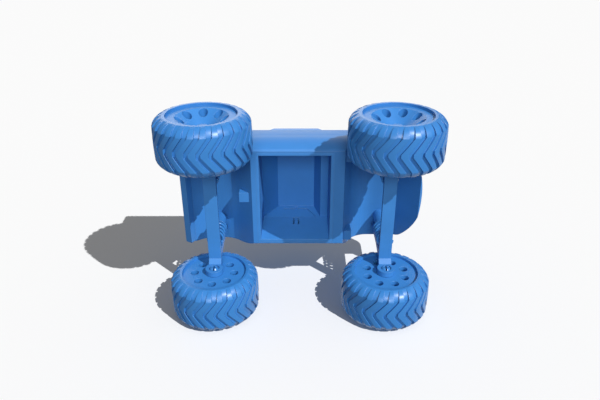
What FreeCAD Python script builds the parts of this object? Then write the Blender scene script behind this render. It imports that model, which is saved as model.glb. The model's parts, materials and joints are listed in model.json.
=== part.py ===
"""Four wheel robot chassis with two sprung beam axles, as separate printed pieces.

Frame: +X is the front (rounded nose), +Y the left side, +Z up. The origin is on the ground, midway
between the axles, under the middle of the vehicle. All sizes are in millimetres.
"""
import FreeCAD, Part

import math
import os

import Sketcher

DOC = FreeCAD.newDocument("robot_chassis")

# ---------------------------------------------------------------------------------------------
# Driving dimensions
# ---------------------------------------------------------------------------------------------
DIMENSIONS = [
    # wheels
    ("wheelbase", 128.0),
    ("overall_width", 156.0),
    ("wheel_radius", 32.5),
    ("tyre_width", 34.0),
    ("tyre_bead_radius", 23.5),
    ("tyre_lip_width", 1.3),
    ("shoulder_reach", 5.7),
    ("crown_drop", 0.3),
    ("tread_depth", 1.6),
    ("tread_lug_count", 26.0),
    ("groove_width", 2.8),
    ("groove_end_width", 3.6),
    ("groove_sweep", 7.6),
    ("groove_point", 1.6),
    ("rim_recess", 2.0),
    ("dish_radius", 17.9),
    ("dish_depth", 8.6),
    ("hub_seat_radius", 5.2),
    ("ring_radius", 14.7),
    ("ring_hole_radius", 3.1),
    ("ring_hole_count", 8.0),
    # wheel pins
    ("pin_radius", 3.0),
    ("pin_running_gap", 0.06),
    ("pin_head_radius", 4.6),
    ("pin_head_height", 2.2),
    ("pin_barb_radius", 3.7),
    ("pin_slot_width", 1.1),
    ("pin_slot_length", 9.0),
    ("side_gap", 0.3),
    # axle beams
    ("beam_width", 9.3),
    ("beam_thickness", 3.4),
    ("beam_height", 40.4),
    ("foot_radius", 6.5),
    ("foot_length", 4.35),
    ("foot_bore_radius", 3.9),
    ("post_inner", 32.8),
    ("post_outer", 36.6),
    ("post_flare", 39.3),
    ("post_straight_height", 60.0),
    ("post_top", 91.5),
    ("foot_mouth_depth", 10.4),
    # springs and their seats
    ("spring_offset", 25.6),
    ("spring_mean_radius", 5.3),
    ("spring_wire_radius", 1.05),
    ("spring_turns", 4.0),
    ("spring_top", 64.2),
    ("seat_flange_radius", 6.6),
    ("seat_flange_height", 1.8),
    ("seat_column_radius", 4.6),
    ("seat_pilot_radius", 3.6),
    ("seat_pilot_length", 4.0),
    ("seat_spigot_radius", 3.0),
    # body
    ("belly_height", 63.5),
    ("belly_half_width", 40.2),
    ("belly_chamfer", 1.2),
    ("belly_curve", 27.0),
    ("hip_half_width", 44.4),
    ("hip_height", 82.0),
    ("side_curve", 60.0),
    ("deck_height", 100.0),
    ("deck_half_width", 43.2),
    ("deck_edge", 3.0),
    ("deck_edge_radius", 3.4),
    ("body_front", 93.5),
    ("body_rear", -92.0),
    ("nose_bow", 75.0),
    ("nose_corner_radius", 10.7),
    ("nose_corner_length", 9.2),
    ("nose_corner_depth", 4.5),
    ("bonnet_radius", 12.0),
    ("bonnet_setback", 11.0),
    ("tail_radius", 4.0),
    ("tail_edge_radius", 5.2),
    ("tail_seat", 75.5),
    ("wall", 2.6),
    ("front_arch_height", 86.5),
    ("front_arch_start", 55.1),
    ("front_arch_end", 77.0),
    ("front_arch_radius", 18.0),
    ("chin_height", 66.0),
    ("chin_bevel", 2.0),
    ("rear_arch_height", 82.0),
    ("rear_arch_start", -62.4),
    ("rear_arch_end", -68.0),
    ("rear_arch_radius", 20.0),
    ("rear_arch_bow", 23.3),
    ("box_front", 33.3),
    ("box_rear", -36.6),
    # bay and its tub
    ("bay_front", 23.0),
    ("bay_rear", -30.7),
    ("bay_half_width", 35.5),
    ("tub_wall", 2.4),
    ("notch_width", 2.8),
    ("notch_depth", 1.2),
    ("notch_low", 64.9),
    ("notch_high", 66.7),
    ("notch_rear_spread", 10.0),
    ("notch_front_spread", 18.0),
    ("latch_rear", -5.8),
    ("latch_front", -0.6),
    ("latch_slot_width", 1.2),
    ("latch_low", 87.8),
    ("latch_high", 99.0),
    # cabin
    ("cabin_front", 26.5),
    ("cabin_rear", -34.0),
    ("cabin_half_width", 39.6),
    ("roof_height", 120.6),
    ("roof_half_width", 36.6),
    ("roof_front", 15.9),
    ("roof_rear", -22.4),
    ("roof_wall", 3.1),
    ("roof_side_wall", 2.6),
    ("roof_rear_wall", 3.6),
    ("roof_edge_radius", 3.0),
    ("screen_foot", 17.0),
    ("screen_head", 12.0),
    ("window_rear", -14.0),
    ("window_front", 6.2),
    ("window_foot", 14.0),
    ("window_top", 113.5),
    ("window_line", 1.0),
    ("window_depth", 0.8),
    ("pillar_rear", -4.6),
    ("pillar_front", -1.9),
    ("lug_rise", 2.5),
    ("lug_rear_length", 10.0),
    ("lug_rear_height", 12.5),
    ("lug_front_length", 7.0),
    ("lug_front_height", 16.0),
    ("lug_width", 8.0),
    ("lug_inset", 2.8),
    # bumper
    ("bumper_height", 70.5),
    ("bumper_rise", 2.5),
    ("bumper_lip", 4.7),
    ("bumper_seat_depth", 7.8),
    ("bumper_half_width", 43.2),
]


def make_sheet():
    """Put every driving dimension in the sheet, one aliased cell each."""
    sheet = DOC.addObject("Spreadsheet::Sheet", "Dimensions")
    for row, (name, value) in enumerate(DIMENSIONS, start=1):
        sheet.set(f"A{row}", name)
        sheet.set(f"B{row}", repr(value))
        sheet.setAlias(f"B{row}", name)
    DOC.recompute()
    return sheet


SHEET = make_sheet()
KNOWN_NAMES = sorted((name for name, _ in DIMENSIONS), key=len, reverse=True)


def expression(text):
    """Turn plain names of dimensions into references to the sheet's cells."""
    out = []
    word = ""
    for letter in str(text) + " ":
        if letter.isalnum() or letter == "_":
            word += letter
            continue
        out.append("Dimensions." + word if word in KNOWN_NAMES else word)
        out.append(letter)
        word = ""
    return "".join(out).strip()


def value(text):
    """The number, in millimetres, that an expression of dimensions has now."""
    result = SHEET.evalExpression(expression(text))
    return float(getattr(result, "Value", result))


def bind(obj, **properties):
    """Bind an object's properties to expressions of the driving dimensions."""
    for name, text in properties.items():
        obj.setExpression(name, expression(text))


def place(obj, x="0", y="0", z="0"):
    """Bind an object's place to expressions of the driving dimensions."""
    bind(obj, **{".Placement.Base.x": x, ".Placement.Base.y": y, ".Placement.Base.z": z})


# ---------------------------------------------------------------------------------------------
# Sketches and bodies
# ---------------------------------------------------------------------------------------------
def make_body(name):
    return DOC.addObject("PartDesign::Body", name)


def origin_plane(body, role):
    return next(feature for feature in body.Origin.OriginFeatures if feature.Role == role)


def arc_geometry(start, end, radius, turn):
    """An arc from start to end. turn 1 keeps its centre on the left of the way, -1 on the right."""
    chord = end - start
    middle = (start + end) * 0.5
    reach = math.sqrt(max(radius * radius - chord.Length**2 / 4, 0.0))
    left = FreeCAD.Vector(-chord.y, chord.x, 0).normalize()
    centre = middle + left * (reach * turn)
    circle = Part.Circle(centre, FreeCAD.Vector(0, 0, 1), radius)
    first, last = (start, end) if turn > 0 else (end, start)
    angles = [math.atan2(p.y - centre.y, p.x - centre.x) for p in (first, last)]
    if angles[1] < angles[0]:
        angles[1] += 2 * math.pi
    return Part.ArcOfCircle(circle, angles[0], angles[1])


def outline(body, name, role, corners):
    """A closed sketch on one of the body's origin planes.

    Each corner is (across, up), and may add an arc radius and its turn for the edge that follows.
    """
    sketch = body.newObject("Sketcher::SketchObject", name)
    sketch.AttachmentSupport = (origin_plane(body, role), [""])
    sketch.MapMode = "FlatFace"
    points = [FreeCAD.Vector(value(c[0]), value(c[1]), 0) for c in corners]
    starts = []
    ends = []
    for index, corner in enumerate(corners):
        here = points[index]
        there = points[(index + 1) % len(points)]
        if len(corner) == 2:
            geometry = sketch.addGeometry(Part.LineSegment(here, there))
            starts.append((geometry, 1))
            ends.append((geometry, 2))
            continue
        geometry = sketch.addGeometry(arc_geometry(here, there, value(corner[2]), corner[3]))
        starts.append((geometry, 1 if corner[3] > 0 else 2))
        ends.append((geometry, 2 if corner[3] > 0 else 1))
    for index in range(len(corners)):
        follows = ends[index - 1]
        sketch.addConstraint(Sketcher.Constraint("Coincident", *follows, *starts[index]))
    for index, corner in enumerate(corners):
        for kind, letter, text in (("DistanceX", "across", corner[0]), ("DistanceY", "up", corner[1])):
            number = sketch.addConstraint(Sketcher.Constraint(kind, *starts[index], value(text)))
            sketch.renameConstraint(number, f"{letter}{index}")
            sketch.setExpression(f"Constraints.{letter}{index}", expression(text))
        if len(corner) == 4:
            radius = Sketcher.Constraint("Radius", starts[index][0], value(corner[2]))
            number = sketch.addConstraint(radius)
            sketch.renameConstraint(number, f"radius{index}")
            sketch.setExpression(f"Constraints.radius{index}", expression(corner[2]))
    return sketch


def circle_sketch(body, name, role, across, up, radius):
    """A sketch of one circle on one of the body's origin planes."""
    sketch = body.newObject("Sketcher::SketchObject", name)
    sketch.AttachmentSupport = (origin_plane(body, role), [""])
    sketch.MapMode = "FlatFace"
    centre = FreeCAD.Vector(value(across), value(up), 0)
    circle = Part.Circle(centre, FreeCAD.Vector(0, 0, 1), value(radius))
    geometry = sketch.addGeometry(circle)
    for kind, letter, text in (("DistanceX", "across", across), ("DistanceY", "up", up)):
        number = sketch.addConstraint(Sketcher.Constraint(kind, geometry, 3, value(text)))
        sketch.renameConstraint(number, letter)
        sketch.setExpression(f"Constraints.{letter}", expression(text))
    number = sketch.addConstraint(Sketcher.Constraint("Radius", geometry, value(radius)))
    sketch.renameConstraint(number, "radius")
    sketch.setExpression("Constraints.radius", expression(radius))
    return sketch


def pad(body, name, role, corners, length, midplane=True, offset="0"):
    """A padded outline, either about its plane or from an offset plane along the plane's normal."""
    sketch = outline(body, name + "_outline", role, corners)
    bind(sketch, **{".AttachmentOffset.Base.z": offset})
    feature = body.newObject("PartDesign::Pad", name)
    feature.Profile = sketch
    feature.Midplane = midplane
    bind(feature, Length=length)
    return feature


def revolve(body, name, corners):
    """A profile in the plane of X and Y, turned about Y. Corners are (radius, along Y)."""
    sketch = outline(body, name + "_profile", "XY_Plane", corners)
    feature = body.newObject("PartDesign::Revolution", name)
    feature.Profile = sketch
    feature.ReferenceAxis = (sketch, ["V_Axis"])
    feature.Angle = 360
    return feature


def revolve_about_z(body, name, corners):
    """A profile in the plane of X and Z, turned about Z. Corners are (radius, height)."""
    sketch = outline(body, name + "_profile", "XZ_Plane", corners)
    feature = body.newObject("PartDesign::Revolution", name)
    feature.Profile = sketch
    feature.ReferenceAxis = (sketch, ["V_Axis"])
    feature.Angle = 360
    return feature


def box(name, x, y, z):
    """A box between three pairs of expressions."""
    solid = DOC.addObject("Part::Box", name)
    bind(solid, Length=f"({x[1]}) - ({x[0]})", Width=f"({y[1]}) - ({y[0]})", Height=f"({z[1]}) - ({z[0]})")
    place(solid, x[0], y[0], z[0])
    return solid


def cylinder(name, radius, height, x="0", y="0", z="0", along="Z"):
    """A cylinder that starts at a point and runs along +Z or +Y."""
    solid = DOC.addObject("Part::Cylinder", name)
    bind(solid, Radius=radius, Height=height)
    if along == "Y":
        solid.Placement = FreeCAD.Placement(FreeCAD.Vector(), FreeCAD.Rotation(FreeCAD.Vector(1, 0, 0), -90))
    place(solid, x, y, z)
    return solid


def tapered_block(name, low, high, bottom, top):
    """A block whose rectangle (rear, front, half width) at height bottom narrows to another at top."""
    solid = DOC.addObject("Part::Wedge", name)
    bind(solid, Xmin=low[0], Xmax=low[1], Zmin=f"-({low[2]})", Zmax=low[2])
    bind(solid, X2min=high[0], X2max=high[1], Z2min=f"-({high[2]})", Z2max=high[2])
    bind(solid, Ymin="0", Ymax=f"({top}) - ({bottom})")
    solid.Placement = FreeCAD.Placement(FreeCAD.Vector(), FreeCAD.Rotation(FreeCAD.Vector(1, 0, 0), 90))
    place(solid, z=bottom)
    return solid


def cut(name, base, tools):
    """base less each of the tools, in turn."""
    for index, tool in enumerate(tools):
        feature = DOC.addObject("Part::Cut", f"{name}_cut_{index}")
        feature.Base = base
        feature.Tool = tool
        base = feature
    return base


def fuse(name, shapes):
    feature = DOC.addObject("Part::MultiFuse", name)
    feature.Shapes = shapes
    feature.Refine = True
    return feature


def common(name, shapes):
    feature = DOC.addObject("Part::MultiCommon", name)
    feature.Shapes = shapes
    return feature


NODES = []


def node(label, feature):
    """Make a feature one of the chassis's separate pieces."""
    feature.Label = label
    NODES.append(feature)
    return feature


CORNERS = [
    ("front_left", 1, 1),
    ("front_right", 1, -1),
    ("rear_left", -1, 1),
    ("rear_right", -1, -1),
]
# Each wheel stands turned by its own amount: its ring of holes and its tread, in degrees.
RING_TURNS = {"front_left": 19.0, "front_right": 24.0, "rear_left": 0.0, "rear_right": 5.0}
TREAD_TURNS = {"front_left": 0.0, "front_right": 0.0, "rear_left": 0.0, "rear_right": 4.15}
ENDS = [("front", 1), ("rear", -1)]


# ---------------------------------------------------------------------------------------------
# Wheels
# ---------------------------------------------------------------------------------------------
OUTER = "overall_width / 2"
INNER = "(overall_width / 2 - tyre_width)"
CROWN_RADIUS = "(tyre_width / 2 - shoulder_reach) ^ 2 / (crown_drop * 2)"


def tyre_profile(side, inset):
    """The tyre's section, its tread set in by inset. Corners are (radius, along the axle)."""
    shoulder = f"(wheel_radius - crown_drop - {inset})"
    lip = f"(tyre_bead_radius + tyre_lip_width + {inset} * 0.3)"
    return [
        ("tyre_bead_radius", f"{side} * {INNER}"),
        (lip, f"{side} * {INNER}", "shoulder_reach * 1.55", side),
        (shoulder, f"{side} * ({INNER} + shoulder_reach)", CROWN_RADIUS, side),
        (shoulder, f"{side} * ({OUTER} - shoulder_reach)", "shoulder_reach * 1.55", side),
        (lip, f"{side} * {OUTER}"),
        ("tyre_bead_radius", f"{side} * {OUTER}"),
    ]


def groove_prism(name, side):
    """The prism that cuts one chevron groove. Its point is at the middle, towards -X underneath."""
    body = make_body(name)
    half_end = "groove_end_width / 2"
    half = "groove_width / 2"
    sweep = "groove_sweep / 2"
    middle = f"{side} * (overall_width / 2 - tyre_width / 2)"
    arm = "(tyre_width / 2 - shoulder_reach)"
    edge = "(tyre_width / 2 + 1)"
    corners = [
        (f"{sweep} - {half_end}", f"{middle} + {edge}"),
        (f"{sweep} - {half_end}", f"{middle} + {arm}"),
        (f"-{sweep} - {half}", f"{middle} + groove_point"),
        (f"-{sweep} - {half}", f"{middle} - groove_point"),
        (f"{sweep} - {half_end}", f"{middle} - {arm}"),
        (f"{sweep} - {half_end}", f"{middle} - {edge}"),
        (f"{sweep} + {half_end}", f"{middle} - {edge}"),
        (f"{sweep} + {half_end}", f"{middle} - {arm}"),
        (f"-{sweep} + {half}", f"{middle} - groove_point * 0.6"),
        (f"-{sweep} + {half}", f"{middle} + groove_point * 0.6"),
        (f"{sweep} + {half_end}", f"{middle} + {arm}"),
        (f"{sweep} + {half_end}", f"{middle} + {edge}"),
    ]
    prism = pad(body, name + "_pad", "XY_Plane", corners, "wheel_radius * 0.4", False, "-wheel_radius * 1.05")
    body.Tip = prism
    return body


def make_tyre(label, end, side, turn):
    """A tyre with chevron lugs: a carcass, and an outer ring that the grooves cut into lugs."""
    carcass = make_body(label + "_carcass")
    revolve(carcass, label + "_carcass_turn", tyre_profile(side, "tread_depth"))
    blank = make_body(label + "_blank")
    revolve(blank, label + "_blank_turn", tyre_profile(side, "0"))
    prism = groove_prism(label + "_groove", side)
    DOC.recompute()
    count = int(value("tread_lug_count"))
    ring = blank.Shape.cut(carcass.Shape)
    axis = FreeCAD.Vector(0, 1, 0)
    prisms = []
    for index in range(count):
        turned = prism.Shape.copy()
        turned.rotate(FreeCAD.Vector(), axis, turn + 360.0 * index / count)
        prisms.append(turned)
    lugs = ring.cut(prisms)
    tyre = DOC.addObject("Part::Feature", label)
    tyre.Shape = carcass.Shape.fuse(lugs.Solids)
    place(tyre, f"{end} * wheelbase / 2", "0", "wheel_radius")
    return node(label, tyre)


def make_rim(label, end, side, turn):
    """A thick dished rim with a ring of through holes and a plain bore for its pin."""
    body = make_body(label)
    bore = "(pin_radius + pin_running_gap)"
    face = f"{side} * ({OUTER} - rim_recess)"
    revolve(body, label + "_turn", [
        (bore, f"{side} * ({INNER} + rim_recess)"),
        ("tyre_bead_radius", f"{side} * ({INNER} + rim_recess)"),
        ("tyre_bead_radius", face),
        ("dish_radius", face),
        ("hub_seat_radius", f"{side} * ({OUTER} - rim_recess - dish_depth)"),
        (bore, f"{side} * ({OUTER} - rim_recess - dish_depth)"),
    ])
    across = f"ring_radius * {math.cos(math.radians(turn)):.6f}"
    up = f"ring_radius * {math.sin(math.radians(turn)):.6f}"
    sketch = circle_sketch(body, label + "_hole_circle", "XZ_Plane", across, up, "ring_hole_radius")
    hole = body.newObject("PartDesign::Pocket", label + "_hole")
    hole.Profile = sketch
    hole.Type = "ThroughAll"
    hole.Midplane = True
    ring = body.newObject("PartDesign::PolarPattern", label + "_ring")
    ring.Originals = [hole]
    ring.Axis = (sketch, ["N_Axis"])
    ring.Angle = 360
    ring.Occurrences = int(value("ring_hole_count"))
    bind(ring, Occurrences="ring_hole_count")
    body.Tip = ring
    place(body, f"{end} * wheelbase / 2", "0", "wheel_radius")
    return node(label, body)


def make_pin(label, end, side):
    """A snap pin: a domed head in the dish, a plain shank and a split barbed end in the foot."""
    body = make_body(label)
    seat = f"({OUTER} - rim_recess - dish_depth + side_gap)"
    tip = f"({INNER} + rim_recess - foot_length)"
    revolve(body, label + "_turn", [
        ("0", f"{side} * ({tip} - 0.6)"),
        ("pin_radius - 0.6", f"{side} * ({tip} - 0.6)"),
        ("pin_barb_radius", f"{side} * ({tip} + 0.9)"),
        ("pin_barb_radius", f"{side} * ({tip} + 1.5)"),
        ("pin_radius", f"{side} * ({tip} + 2.2)"),
        ("pin_radius", f"{side} * {seat}"),
        ("pin_head_radius", f"{side} * {seat}"),
        ("pin_head_radius", f"{side} * ({seat} + pin_head_height * 0.5)"),
        ("pin_head_radius * 0.72", f"{side} * ({seat} + pin_head_height)"),
        ("0", f"{side} * ({seat} + pin_head_height)"),
    ])
    low = f"{side} * ({tip} - 2)"
    high = f"{side} * ({tip} + pin_slot_length)"
    for name, role, flip in (("slot_upright", "XY_Plane", 1), ("slot_level", "YZ_Plane", 0)):
        wide = "pin_slot_width / 2"
        corners = [(f"-{wide}", low), (wide, low), (wide, high), (f"-{wide}", high)]
        if not flip:
            corners = [(along, across) for across, along in corners]
        sketch = outline(body, f"{label}_{name}_outline", role, corners)
        slot = body.newObject("PartDesign::Pocket", f"{label}_{name}")
        slot.Profile = sketch
        slot.Type = "ThroughAll"
        slot.Midplane = True
        body.Tip = slot
    place(body, f"{end} * wheelbase / 2", "0", "wheel_radius")
    return node(label, body)


# ---------------------------------------------------------------------------------------------
# Axle beams, springs and spring seats
# ---------------------------------------------------------------------------------------------
def arch_height(end):
    return "front_arch_height" if end > 0 else "rear_arch_height"


def make_beam(label, end):
    """A flat bar from wheel to wheel, with a foot for the pin and a guide post at each end."""
    half = "beam_width / 2"
    top = "(beam_height + beam_thickness)"
    outer = f"({INNER} + rim_recess - side_gap)"
    foot = f"({INNER} + rim_recess - foot_length)"
    ramp = "(beam_height - wheel_radius - foot_radius * 0.74)"
    body = make_body(label + "_bar")
    corners = []
    for side in (1, -1):
        way = [
            (f"{side} * ({foot} - {ramp})", "beam_height"),
            (f"{side} * {foot}", f"beam_height - {ramp}"),
            (f"{side} * {foot}", "wheel_radius"),
            (f"{side} * {outer}", "wheel_radius"),
            (f"{side} * {outer}", top),
            (f"{side} * post_flare", top),
            (f"{side} * post_outer", "post_straight_height"),
            (f"{side} * post_outer", "post_top"),
            (f"{side} * post_inner", "post_top"),
            (f"{side} * post_inner", top),
        ]
        corners += way if side > 0 else way[::-1]
    pad(body, label + "_bar_pad", "YZ_Plane", corners, "beam_width")
    place(body, f"{end} * wheelbase / 2")
    pieces = [body]
    bores = []
    for side, name in ((1, "left"), (-1, "right")):
        low = foot if side > 0 else f"-{outer}"
        length = f"{outer} - {foot}"
        x = f"{end} * wheelbase / 2"
        pieces.append(cylinder(f"{label}_foot_{name}", "foot_radius", length, x, low, "wheel_radius", "Y"))
        shank = f"{label}_bore_{name}"
        bores.append(cylinder(shank, "pin_radius", f"{length} + 2", x, f"{low} - 1", "wheel_radius", "Y"))
        mouth = f"{foot} + 2.4 - foot_mouth_depth" if side > 0 else f"-{foot} - 2.4"
        bores.append(cylinder(shank + "_mouth", "foot_bore_radius", "foot_mouth_depth", x, mouth,
                              "wheel_radius", "Y"))
    return node(label, cut(label, fuse(label + "_solid", pieces), bores))


def make_spring(label, end, side):
    """A round wire coil spring between the beam and its seat."""
    helix = DOC.addObject("Part::Helix", label + "_path")
    rise = "(spring_top - beam_height - beam_thickness - spring_wire_radius * 2 - side_gap - 0.1)"
    bind(helix, Radius="spring_mean_radius", Height=rise, Pitch=f"{rise} / spring_turns")
    helix.Angle = 0
    x = f"{end} * wheelbase / 2"
    y = f"{side} * spring_offset"
    low = "beam_height + beam_thickness + spring_wire_radius + side_gap"
    place(helix, x, y, low)
    wire = DOC.addObject("Part::Circle", label + "_wire")
    bind(wire, Radius="spring_wire_radius")
    wire.Placement = FreeCAD.Placement(FreeCAD.Vector(), FreeCAD.Rotation(FreeCAD.Vector(1, 0, 0), 90))
    place(wire, f"{x} + spring_mean_radius", y, low)
    sweep = DOC.addObject("Part::Sweep", label)
    sweep.Sections = [wire]
    sweep.Spine = helix
    sweep.Solid = True
    sweep.Frenet = True
    return node(label, sweep)


def make_seat(label, end, side):
    """A turned seat under the wheel arch: a pilot inside the spring, a flange and a domed shoulder."""
    body = make_body(label)
    top = arch_height(end)
    revolve_about_z(body, label + "_turn", [
        ("0", "spring_top - seat_pilot_length"),
        ("seat_pilot_radius - 0.8", "spring_top - seat_pilot_length"),
        ("seat_pilot_radius", "spring_top - seat_pilot_length + 0.8"),
        ("seat_pilot_radius", "spring_top"),
        ("seat_flange_radius", "spring_top"),
        ("seat_flange_radius", "spring_top + seat_flange_height"),
        ("seat_column_radius", "spring_top + seat_flange_height + 2.4"),
        ("seat_column_radius", top),
        ("seat_spigot_radius", top),
        ("seat_spigot_radius", f"{top} + wall"),
        ("0", f"{top} + wall"),
    ])
    place(body, f"{end} * wheelbase / 2", f"{side} * spring_offset", "0")
    return node(label, body)


# ---------------------------------------------------------------------------------------------
# Body
# ---------------------------------------------------------------------------------------------
def side_prism(name, inset):
    """The body's outline seen from the side, padded across, set in by inset.

    Its corners run forwards underneath, by the tail, the rear wheel arch, the belly box, the front
    wheel arch, the chin and the nose, and come back along the deck.
    """
    body = make_body(name)
    bow = f"(rear_arch_bow + {inset})"
    rear = f"(rear_arch_radius + {inset})"
    front = f"(front_arch_radius + {inset})"
    corners = [
        (f"body_rear + {inset}", f"tail_seat + {inset}"),
        (f"rear_arch_end - sqrt({bow} ^ 2 - (tail_seat - rear_arch_height + {bow}) ^ 2)",
         f"tail_seat + {inset}", bow, -1),
        ("rear_arch_end", f"rear_arch_height + {inset}"),
        ("rear_arch_start", f"rear_arch_height + {inset}", rear, -1),
        (f"rear_arch_start + {rear} * 0.736", f"rear_arch_height - rear_arch_radius + {rear} * 0.677"),
        (f"box_rear + {inset} * 0.42", f"belly_height + {inset}"),
        (f"box_front - {inset} * 0.66", f"belly_height + {inset}"),
        (f"front_arch_start - {front} * 0.918", f"front_arch_height - front_arch_radius + {front} * 0.397",
         front, -1),
        ("front_arch_start", f"front_arch_height + {inset}"),
        (f"front_arch_end + {inset} * 0.5", f"front_arch_height + {inset}"),
        (f"body_front - chin_bevel - {inset} * 0.9", f"chin_height + {inset} * 3.1"),
        (f"body_front - {inset}", f"chin_height + chin_bevel + {inset} * 2.4"),
        (f"body_front - {inset}", "deck_height - bonnet_radius", f"bonnet_radius - {inset} * 0.5", 1),
        (f"body_front - bonnet_setback - {inset}", f"deck_height - 1 - {inset}"),
        ("cabin_front", f"deck_height - {inset}"),
        (f"body_rear + 5 + {inset}", f"deck_height - {inset}", f"tail_edge_radius - {inset} * 0.5", 1),
        (f"body_rear + {inset}", "deck_height - tail_edge_radius"),
    ]
    pad(body, name + "_pad", "XZ_Plane", corners, "hip_half_width * 2 + 10")
    return body


def section_prism(name, inset):
    """The body's cross-section, padded along, set in by inset."""
    body = make_body(name)
    flat = f"(belly_half_width - belly_chamfer - {inset} * 0.6)"
    low = f"belly_height + belly_chamfer + {inset} * 0.6"
    belly = f"belly_curve - {inset}"
    side = f"side_curve - {inset}"
    edge = f"deck_edge_radius - {inset} * 0.3"
    corners = [
        (f"-{flat}", f"belly_height + {inset}"),
        (flat, f"belly_height + {inset}"),
        (f"belly_half_width - {inset}", low, belly, 1),
        (f"hip_half_width - {inset}", "hip_height", side, 1),
        (f"deck_half_width - {inset}", "deck_height - deck_edge", edge, 1),
        (f"deck_half_width - deck_edge - {inset}", f"deck_height - {inset}"),
        (f"-(deck_half_width - deck_edge - {inset})", f"deck_height - {inset}", edge, 1),
        (f"-(deck_half_width - {inset})", "deck_height - deck_edge", side, 1),
        (f"-(hip_half_width - {inset})", "hip_height", belly, 1),
        (f"-(belly_half_width - {inset})", low),
    ]
    pad(body, name + "_pad", "YZ_Plane", corners, "(body_front - body_rear) * 1.2")
    return body


def plan_prism(name, inset):
    """The body's outline seen from above, with its bowed nose, padded upwards, set in by inset."""
    body = make_body(name)
    wide = f"(hip_half_width + 1 - {inset})"
    bow_half = f"({wide} - nose_corner_depth)"
    bow_end = f"(body_front - nose_bow + sqrt((nose_bow - {inset}) ^ 2 - {bow_half} ^ 2))"
    tail = f"body_rear + {inset}"
    corners = [
        (f"{tail} + tail_radius", f"-{wide}"),
        (f"{bow_end} - nose_corner_length", f"-{wide}", "nose_corner_radius", 1),
        (bow_end, f"-{bow_half}", f"nose_bow - {inset}", 1),
        (bow_end, bow_half, "nose_corner_radius", 1),
        (f"{bow_end} - nose_corner_length", wide),
        (f"{tail} + tail_radius", wide, "tail_radius", 1),
        (tail, f"{wide} - tail_radius"),
        (tail, f"-{wide} + tail_radius", "tail_radius", 1),
    ]
    pad(body, name + "_pad", "XY_Plane", corners, "deck_height * 3")
    return body


def body_volume(name, inset):
    """The body as a whole block, set in by inset."""
    prisms = [
        side_prism(name + "_side", inset),
        section_prism(name + "_section", inset),
        plan_prism(name + "_plan", inset),
    ]
    return common(name, prisms)


def make_body_shell():
    """The outer shell, open below for the tub and above under the cabin, with four post slots."""
    tub_x = ("bay_rear - tub_wall", "bay_front + tub_wall")
    tub_y = ("-(bay_half_width + tub_wall)", "bay_half_width + tub_wall")
    tools = [
        body_volume("shell_inside", "wall"),
        box("shell_tub_hole", tub_x, tub_y, ("belly_height - 5", "belly_height + wall + 5")),
        box("shell_cabin_hole", tub_x, tub_y, ("deck_height - wall - 5", "deck_height + 5")),
    ]
    for name, end, side in CORNERS:
        axle = f"{end} * wheelbase / 2"
        arch = arch_height(end)
        x = (f"{axle} - beam_width / 2 - side_gap", f"{axle} + beam_width / 2 + side_gap")
        y = ("post_inner - side_gap", "post_outer + side_gap")
        if side < 0:
            y = ("-post_outer - side_gap", "-post_inner + side_gap")
        tools.append(box(f"post_slot_{name}", x, y, (f"{arch} - 2", f"{arch} + wall + 2")))
        seat_y = f"{side} * spring_offset"
        low = f"{arch} - 2"
        tools.append(cylinder(f"seat_hole_{name}", "seat_spigot_radius", "wall + 4", axle, seat_y, low))
        tools.append(cylinder(f"seat_face_{name}", "seat_column_radius", "2", axle, seat_y, low))
    outside = fuse("shell_with_lugs", [body_volume("shell_outside", "0")] + make_lugs())
    return node("body_shell", cut("body_shell", outside, tools))


def make_bay_tub():
    """The tub that lines the bay: four walls flush with the belly, with latch slots and snap notches."""
    rear, front, wide = "bay_rear - tub_wall", "bay_front + tub_wall", "(bay_half_width + tub_wall)"
    blank = box("tub_blank", (rear, front), (f"-{wide}", wide), ("belly_height", "deck_height"))
    tools = [
        box("tub_bay", ("bay_rear", "bay_front"), ("-bay_half_width", "bay_half_width"),
            ("belly_height - 1", "deck_height + 1")),
    ]
    walls = [
        ("left", ("bay_half_width - 1", f"{wide} + 1")),
        ("right", (f"-{wide} - 1", "-bay_half_width + 1")),
    ]
    for name, y in walls:
        upright = ("latch_low", "latch_high")
        rear_x = ("latch_rear", "latch_rear + latch_slot_width")
        front_x = ("latch_front - latch_slot_width", "latch_front")
        tools.append(box(f"latch_slot_{name}_rear", rear_x, y, upright))
        tools.append(box(f"latch_slot_{name}_front", front_x, y, upright))
        tools.append(box(f"latch_bridge_{name}", ("latch_rear", "latch_front"), y,
                         ("latch_high - latch_slot_width", "latch_high")))
    for wall, spread in (("rear", "notch_rear_spread"), ("front", "notch_front_spread")):
        for name, side in (("left", 1), ("right", -1)):
            x = (f"bay_{wall} - notch_depth", f"bay_{wall} + notch_depth")
            y = (f"{side} * {spread} - notch_width / 2", f"{side} * {spread} + notch_width / 2")
            tools.append(box(f"notch_{wall}_{name}", x, y, ("notch_low", "notch_high")))
    return node("bay_tub", cut("bay_tub", blank, tools))


def cabin_inside(name, grown):
    """The space inside the cabin, with its side walls set out by grown."""
    low = ("bay_rear", "screen_foot", f"bay_half_width + {grown}")
    high = ("roof_rear + roof_rear_wall", "screen_head", f"roof_half_width - roof_side_wall + {grown}")
    return tapered_block(name, low, high, "deck_height", "roof_height - roof_wall")


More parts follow.
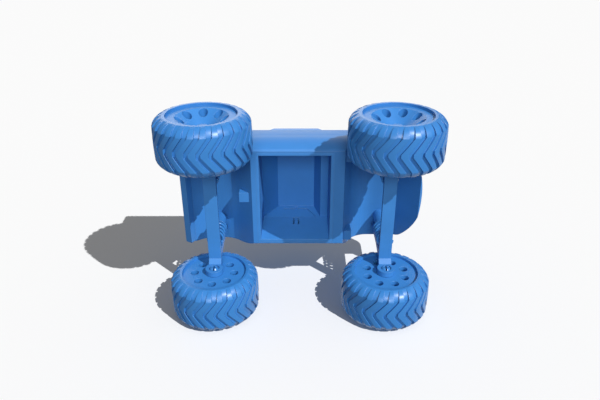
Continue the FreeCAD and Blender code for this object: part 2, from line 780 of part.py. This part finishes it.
def make_cabin():
    """The cabin: a tapered shell on the deck, its windows outlined by grooves inside the side walls."""
    low = ("cabin_rear", "cabin_front", "cabin_half_width")
    high = ("roof_rear", "roof_front", "roof_half_width")
    outside = tapered_block("cabin_outside", low, high, "deck_height", "roof_height")
    line = make_body("window_line")
    corners = [
        ("window_rear", "window_top - window_line"),
        ("window_front - window_line * 0.6", "window_top - window_line"),
        ("window_foot - window_line * 1.2", "deck_height + 0.4"),
        ("window_foot", "deck_height + 0.8"),
        ("window_front", "window_top"),
        ("window_rear", "window_top"),
    ]
    pad(line, "window_line_pad", "XZ_Plane", corners, "hip_half_width * 2")
    pillar = box("window_pillar", ("pillar_rear", "pillar_front"), ("-hip_half_width", "hip_half_width"),
                 ("window_top", "window_top + 3"))
    lines = fuse("window_lines", [line, pillar])
    grooves = common("window_grooves", [lines, cabin_inside("window_groove_space", "window_depth")])
    DOC.recompute()
    rounded = DOC.addObject("Part::Fillet", "cabin_rounded")
    rounded.Base = outside
    radius = value("roof_edge_radius")
    edges = []
    for number, edge in enumerate(outside.Shape.Edges, start=1):
        ends = [vertex.Point.z for vertex in edge.Vertexes]
        if max(ends) > value("roof_height") - 0.01:
            edges.append((number, radius, radius))
    rounded.Edges = edges
    return node("cabin_shell", cut("cabin_shell", rounded, [cabin_inside("cabin_space", "0"), grooves]))


def make_bumper():
    """The bumper bar across the tail, stuck under the shell's rear edge."""
    profile = make_body("bumper_profile")
    corners = [
        ("body_rear", "tail_seat"),
        ("body_rear", "bumper_height + bumper_rise"),
        ("body_rear + bumper_lip", "bumper_height"),
        ("body_rear + bumper_seat_depth", "tail_seat"),
    ]
    pad(profile, "bumper_pad", "XZ_Plane", corners, "bumper_half_width * 2")
    return node("rear_bumper", common("rear_bumper", [profile, plan_prism("bumper_plan", "0")]))


def make_lugs():
    """Three lugs for the bay's cover on the flanks of the belly box: one behind, two in front."""
    low = "belly_height + lug_rise"
    lugs = [
        box("lug_rear", ("box_rear - lug_rear_length", "box_rear + 0.5"), ("-lug_width / 2", "lug_width / 2"),
            (low, "belly_height + lug_rear_height")),
    ]
    outer = "belly_half_width - lug_inset"
    sides = [
        ("left", (f"{outer} - lug_width", outer)),
        ("right", (f"-({outer})", f"-({outer}) + lug_width")),
    ]
    for name, y in sides:
        lugs.append(box(f"lug_front_{name}", ("box_front - 0.5", "box_front + lug_front_length"), y,
                        (low, "belly_height + lug_front_height")))
    return lugs


# ---------------------------------------------------------------------------------------------
# Assembly
# ---------------------------------------------------------------------------------------------
make_body_shell()
make_bay_tub()
make_cabin()
make_bumper()
for label, end in ENDS:
    make_beam(f"axle_beam_{label}", end)
for label, end, side in CORNERS:
    make_tyre(f"tyre_{label}", end, side, TREAD_TURNS[label])
    make_rim(f"rim_{label}", end, side, RING_TURNS[label])
    make_pin(f"wheel_pin_{label}", end, side)
    make_spring(f"spring_{label}", end, side)
    make_seat(f"spring_seat_{label}", end, side)

DOC.recompute()

failed = [obj.Name for obj in DOC.Objects if {"Invalid", "Error"} & set(obj.State)]
if failed:
    raise RuntimeError(f"these objects failed to build: {failed}")

os.makedirs("parts", exist_ok=True)
for piece in NODES:
    shape = piece.Shape
    if shape.isNull() or not shape.isValid() or not shape.Solids:
        raise RuntimeError(f"{piece.Label} has no valid solid")
    shape.exportStep(f"parts/{piece.Label}.step")
    size = shape.BoundBox
    print(f"{piece.Label}: {len(shape.Solids)} solid, {shape.Volume:.0f} mm3, "
          f"x {size.XMin:.1f} to {size.XMax:.1f}, y {size.YMin:.1f} to {size.YMax:.1f}, "
          f"z {size.ZMin:.1f} to {size.ZMax:.1f}")
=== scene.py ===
"""Four wheel robot chassis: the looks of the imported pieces, and the studio they are shown in."""
import json

import bpy
from mathutils import Matrix, Vector


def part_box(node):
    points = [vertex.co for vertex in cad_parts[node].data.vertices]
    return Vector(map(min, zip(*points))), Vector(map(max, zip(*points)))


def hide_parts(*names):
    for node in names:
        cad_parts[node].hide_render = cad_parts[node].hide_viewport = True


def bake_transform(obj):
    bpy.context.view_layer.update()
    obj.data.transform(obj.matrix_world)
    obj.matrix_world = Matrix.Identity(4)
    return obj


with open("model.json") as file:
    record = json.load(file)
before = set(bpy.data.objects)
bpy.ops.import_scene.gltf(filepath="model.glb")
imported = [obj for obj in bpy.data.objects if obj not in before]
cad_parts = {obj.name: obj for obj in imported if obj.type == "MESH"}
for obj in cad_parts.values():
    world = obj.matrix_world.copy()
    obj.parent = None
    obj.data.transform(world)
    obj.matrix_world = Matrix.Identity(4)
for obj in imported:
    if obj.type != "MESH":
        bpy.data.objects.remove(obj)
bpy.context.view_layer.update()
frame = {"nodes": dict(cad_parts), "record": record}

# ---------------------------------------------------------------------------------------------
# Places taken from the frame
# ---------------------------------------------------------------------------------------------
FRONT_LOW, FRONT_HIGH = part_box("tyre_front_left")
REAR_LOW, REAR_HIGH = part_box("tyre_rear_left")
WHEELBASE = (FRONT_LOW.x + FRONT_HIGH.x - REAR_LOW.x - REAR_HIGH.x) / 2
FAR_SIDE = FRONT_HIGH.y
AXLE_HEIGHT = (FRONT_LOW.z + FRONT_HIGH.z) / 2

# ---------------------------------------------------------------------------------------------
# Materials
# ---------------------------------------------------------------------------------------------
BLUE = (0.034, 0.187, 0.50)

# Every piece is printed or moulded in the same blue plastic. Each slot gives the axis its layers are
# stacked along, their thickness in metres, its roughness, the strength of its ridges, and how light
# its blue is.
FINISHES = {
    "body": ("Z", 0.0003, 0.50, 0.15, 1.00),
    "tub": ("Z", 0.0003, 0.54, 0.20, 0.97),
    "cabin": ("Z", 0.0002, 0.46, 0.12, 1.00),
    "bumper": ("X", 0.0003, 0.52, 0.22, 0.98),
    "axle": ("X", 0.0003, 0.48, 0.22, 1.01),
    "rim": ("Y", 0.0002, 0.40, 0.12, 1.04),
    "tyre": ("Y", 0.0003, 0.34, 0.18, 0.99),
    "pin": ("Y", 0.0001, 0.30, 0.06, 1.05),
    "spring": ("Z", 0.0002, 0.28, 0.08, 1.06),
    "seat": ("Z", 0.0002, 0.45, 0.14, 1.00),
}
RIDGE_DEPTH = 0.3           # of a layer's thickness
STREAK_DETAIL = 3.0
MOTTLE_SCALE = 90.0         # per metre
MOTTLE_DETAIL = 4.0
DARK_STREAK, LIGHT_STREAK = 0.93, 1.06
EDGE_RADIUS = 0.0005        # metres
EDGE_FLAT, EDGE_TURNED = 0.995, 0.93    # cosine of the turn across a rounded edge
EDGE_WEAR = 0.08
WORN_BLUE, WORN_WHITE = 0.55, 0.32
SMOOTHER, ROUGHER = 0.06, 0.08


def new_material(name):
    material = bpy.data.materials.new(name)
    material.use_nodes = True
    tree = material.node_tree
    shader = next(n for n in tree.nodes if n.type == "BSDF_PRINCIPLED")
    return material, tree, shader


def printed(name, colour, axis, layer, roughness, ridge):
    """Filament printed plastic: fine layer ridges, streaks from layer to layer, and worn edges."""
    material, tree, shader = new_material(name)
    nodes, links = tree.nodes, tree.links
    coords = nodes.new("ShaderNodeTexCoord")
    split = nodes.new("ShaderNodeSeparateXYZ")
    links.new(coords.outputs["Object"], split.inputs[0])
    along = split.outputs[axis]

    count = nodes.new("ShaderNodeMath")
    count.operation = "MULTIPLY"
    count.inputs[1].default_value = 1 / layer
    links.new(along, count.inputs[0])

    wave = nodes.new("ShaderNodeMath")
    wave.operation = "PINGPONG"
    wave.inputs[1].default_value = 0.5
    links.new(count.outputs[0], wave.inputs[0])

    streak = nodes.new("ShaderNodeTexNoise")
    streak.noise_dimensions = "1D"
    streak.inputs["Scale"].default_value = 1.0
    streak.inputs["Detail"].default_value = STREAK_DETAIL
    links.new(count.outputs[0], streak.inputs["W"])

    mottle = nodes.new("ShaderNodeTexNoise")
    mottle.inputs["Scale"].default_value = MOTTLE_SCALE
    mottle.inputs["Detail"].default_value = MOTTLE_DETAIL
    links.new(coords.outputs["Object"], mottle.inputs["Vector"])

    mix = nodes.new("ShaderNodeMix")
    mix.data_type = "FLOAT"
    mix.inputs["Factor"].default_value = 0.5
    links.new(streak.outputs["Fac"], mix.inputs["A"])
    links.new(mottle.outputs["Fac"], mix.inputs["B"])

    ramp = nodes.new("ShaderNodeValToRGB")
    ramp.color_ramp.elements[0].position = 0.3
    ramp.color_ramp.elements[0].color = tuple(c * DARK_STREAK for c in colour) + (1,)
    ramp.color_ramp.elements[1].position = 0.7
    ramp.color_ramp.elements[1].color = tuple(c * LIGHT_STREAK for c in colour) + (1,)
    links.new(mix.outputs["Result"], ramp.inputs["Fac"])

    bevel = nodes.new("ShaderNodeBevel")
    bevel.samples = 4
    bevel.inputs["Radius"].default_value = EDGE_RADIUS
    geometry = nodes.new("ShaderNodeNewGeometry")
    dot = nodes.new("ShaderNodeVectorMath")
    dot.operation = "DOT_PRODUCT"
    links.new(bevel.outputs["Normal"], dot.inputs[0])
    links.new(geometry.outputs["Normal"], dot.inputs[1])
    edge = nodes.new("ShaderNodeMapRange")
    edge.inputs["From Min"].default_value = EDGE_FLAT
    edge.inputs["From Max"].default_value = EDGE_TURNED
    edge.inputs["To Min"].default_value = 0.0
    edge.inputs["To Max"].default_value = EDGE_WEAR
    links.new(dot.outputs["Value"], edge.inputs["Value"])

    worn = nodes.new("ShaderNodeMix")
    worn.data_type = "RGBA"
    worn.inputs["B"].default_value = tuple(c * WORN_BLUE + WORN_WHITE for c in colour) + (1,)
    links.new(edge.outputs["Result"], worn.inputs["Factor"])
    links.new(ramp.outputs["Color"], worn.inputs["A"])
    links.new(worn.outputs["Result"], shader.inputs["Base Color"])

    gloss = nodes.new("ShaderNodeMapRange")
    gloss.inputs["To Min"].default_value = roughness - SMOOTHER
    gloss.inputs["To Max"].default_value = roughness + ROUGHER
    links.new(mix.outputs["Result"], gloss.inputs["Value"])
    links.new(gloss.outputs["Result"], shader.inputs["Roughness"])

    bump = nodes.new("ShaderNodeBump")
    bump.inputs["Strength"].default_value = ridge
    bump.inputs["Distance"].default_value = layer * RIDGE_DEPTH
    links.new(wave.outputs[0], bump.inputs["Height"])
    links.new(bevel.outputs["Normal"], bump.inputs["Normal"])
    links.new(bump.outputs["Normal"], shader.inputs["Normal"])
    return material


materials = {}
for slot, (axis, layer, roughness, ridge, shade) in FINISHES.items():
    colour = tuple(c * shade for c in BLUE)
    materials[slot] = printed(f"printed_{slot}", colour, axis, layer, roughness, ridge)

for part in frame["record"]["subparts"]:
    piece = frame["nodes"][part["node"]]
    piece.data.materials.clear()
    piece.data.materials.append(materials[part["material_slot"]])


# ---------------------------------------------------------------------------------------------
# Springs: each spring's mesh is copied into a coil object of its own, and the imported spring is
# hidden
# ---------------------------------------------------------------------------------------------
for axle in ("front", "rear"):
    for hand in ("left", "right"):
        node_name = f"spring_{axle}_{hand}"
        coil = bpy.data.objects.new(f"coil_{axle}_{hand}", frame["nodes"][node_name].data.copy())
        bpy.context.scene.collection.objects.link(coil)
        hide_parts(node_name)
        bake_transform(coil)


# ---------------------------------------------------------------------------------------------
# Studio: camera, lights and floors
# ---------------------------------------------------------------------------------------------
CAMERA_WAY = Vector((0, 0.45454, 0.89073))
CAMERA_OUT, CAMERA_DOWN = 2.1164, 2.7227    # wheelbases from the far side, and below the axles
LENS, SENSOR = 33.6, 36.0                   # millimetres
LAMP_PLACE = (0, 0, 0.6)
FLOOR_REACH = 6.0
FLOOR_COLOUR = (0.95, 0.95, 0.95, 1)
SKY_LIGHT, SKY_SEEN = 0.225, 0.95


def look(obj, place, towards, up):
    """Put a camera or a lamp at a place, looking along a direction."""
    back = -Vector(towards).normalized()
    right = Vector(up).cross(back).normalized()
    turn = Matrix((right, back.cross(right), back)).transposed()
    obj.matrix_world = Matrix.Translation(place) @ turn.to_4x4()


def make_camera():
    data = bpy.data.cameras.new("camera")
    data.lens = LENS
    data.sensor_width = SENSOR
    data.clip_start = 0.01
    data.clip_end = 20.0
    camera = bpy.data.objects.new("camera", data)
    bpy.context.scene.collection.objects.link(camera)
    place = Vector((0, FAR_SIDE - CAMERA_OUT * WHEELBASE, AXLE_HEIGHT - CAMERA_DOWN * WHEELBASE))
    look(camera, place, CAMERA_WAY, (0, -1, 0))
    bpy.context.scene.camera = camera


def make_sun(name, towards_light, strength, angle):
    """A sun lamp that shines from a direction, as wide as an angle in radians."""
    data = bpy.data.lights.new(name, "SUN")
    data.energy = strength
    data.angle = angle
    lamp = bpy.data.objects.new(name, data)
    bpy.context.scene.collection.objects.link(lamp)
    look(lamp, LAMP_PLACE, -Vector(towards_light), (0, 0.3, 1))
    return lamp


make_camera()
make_sun("key_light", (0.69, -1.0, -0.667), 3.42, 0.008)
fill_light = make_sun("fill_light", -CAMERA_WAY, 1.5, 0.35)
back_light = make_sun("back_light", (-0.15, -0.35, 1.0), 0.9, 0.8)
side_light = make_sun("side_light", (0.3, 1.0, 0.6), 0.9, 1.5)
bay_light = make_sun("bay_light", (0.1, -1.0, -0.3), 1.0, 0.6)
bay_light.data.use_shadow = False


def one_sided(name):
    """A matt floor that can't be seen from behind."""
    material, tree, shader = new_material(name)
    nodes, links = tree.nodes, tree.links
    shader.inputs["Base Color"].default_value = FLOOR_COLOUR
    shader.inputs["Roughness"].default_value = 1.0
    shader.inputs["Specular IOR Level"].default_value = 0.0
    geometry = nodes.new("ShaderNodeNewGeometry")
    clear = nodes.new("ShaderNodeBsdfTransparent")
    mix = nodes.new("ShaderNodeMixShader")
    output = next(n for n in nodes if n.type == "OUTPUT_MATERIAL")
    links.new(geometry.outputs["Backfacing"], mix.inputs["Fac"])
    links.new(shader.outputs[0], mix.inputs[1])
    links.new(clear.outputs[0], mix.inputs[2])
    links.new(mix.outputs[0], output.inputs["Surface"])
    return material


def make_floor(name, corners):
    """A square floor that only the camera sees, and that throws no shadow."""
    mesh = bpy.data.meshes.new(name)
    mesh.from_pydata(corners, [], [(0, 1, 2, 3)])
    floor = bpy.data.objects.new(name, mesh)
    bpy.context.scene.collection.objects.link(floor)
    mesh.materials.append(one_sided(name))
    floor.visible_shadow = False
    floor.visible_diffuse = False
    floor.visible_glossy = False
    return floor


SQUARE = [(FLOOR_REACH * a, FLOOR_REACH * b) for a, b in ((-1, -1), (1, -1), (1, 1), (-1, 1))]
side = make_floor("floor_side", [(x, FAR_SIDE, z) for x, z in SQUARE])
make_floor("floor_under", [(x, y, 0) for x, y in SQUARE])

# The upright floor takes the key light and the sky alone, which keeps its one shadow crisp, and the
# light for the bay reaches nothing but the bay.
unlit = bpy.data.collections.new("unlit")
unlit.objects.link(side)
unlit.collection_objects[0].light_linking.link_state = "EXCLUDE"
for lamp in (fill_light, back_light, side_light):
    lamp.light_linking.receiver_collection = unlit
bay = bpy.data.collections.new("bay")
for node_name in ("bay_tub", "cabin_shell"):
    bay.objects.link(frame["nodes"][node_name])
bay_light.light_linking.receiver_collection = bay

scene = bpy.context.scene
scene.view_settings.view_transform = "Standard"
world = bpy.data.worlds.new("studio")
scene.world = world
world.use_nodes = True
background = world.node_tree.nodes["Background"]
background.inputs["Color"].default_value = (1, 1, 1, 1)
path = world.node_tree.nodes.new("ShaderNodeLightPath")
level = world.node_tree.nodes.new("ShaderNodeMapRange")
level.inputs["To Min"].default_value = SKY_LIGHT
level.inputs["To Max"].default_value = SKY_SEEN
world.node_tree.links.new(path.outputs["Is Camera Ray"], level.inputs["Value"])
world.node_tree.links.new(level.outputs["Result"], background.inputs["Strength"])
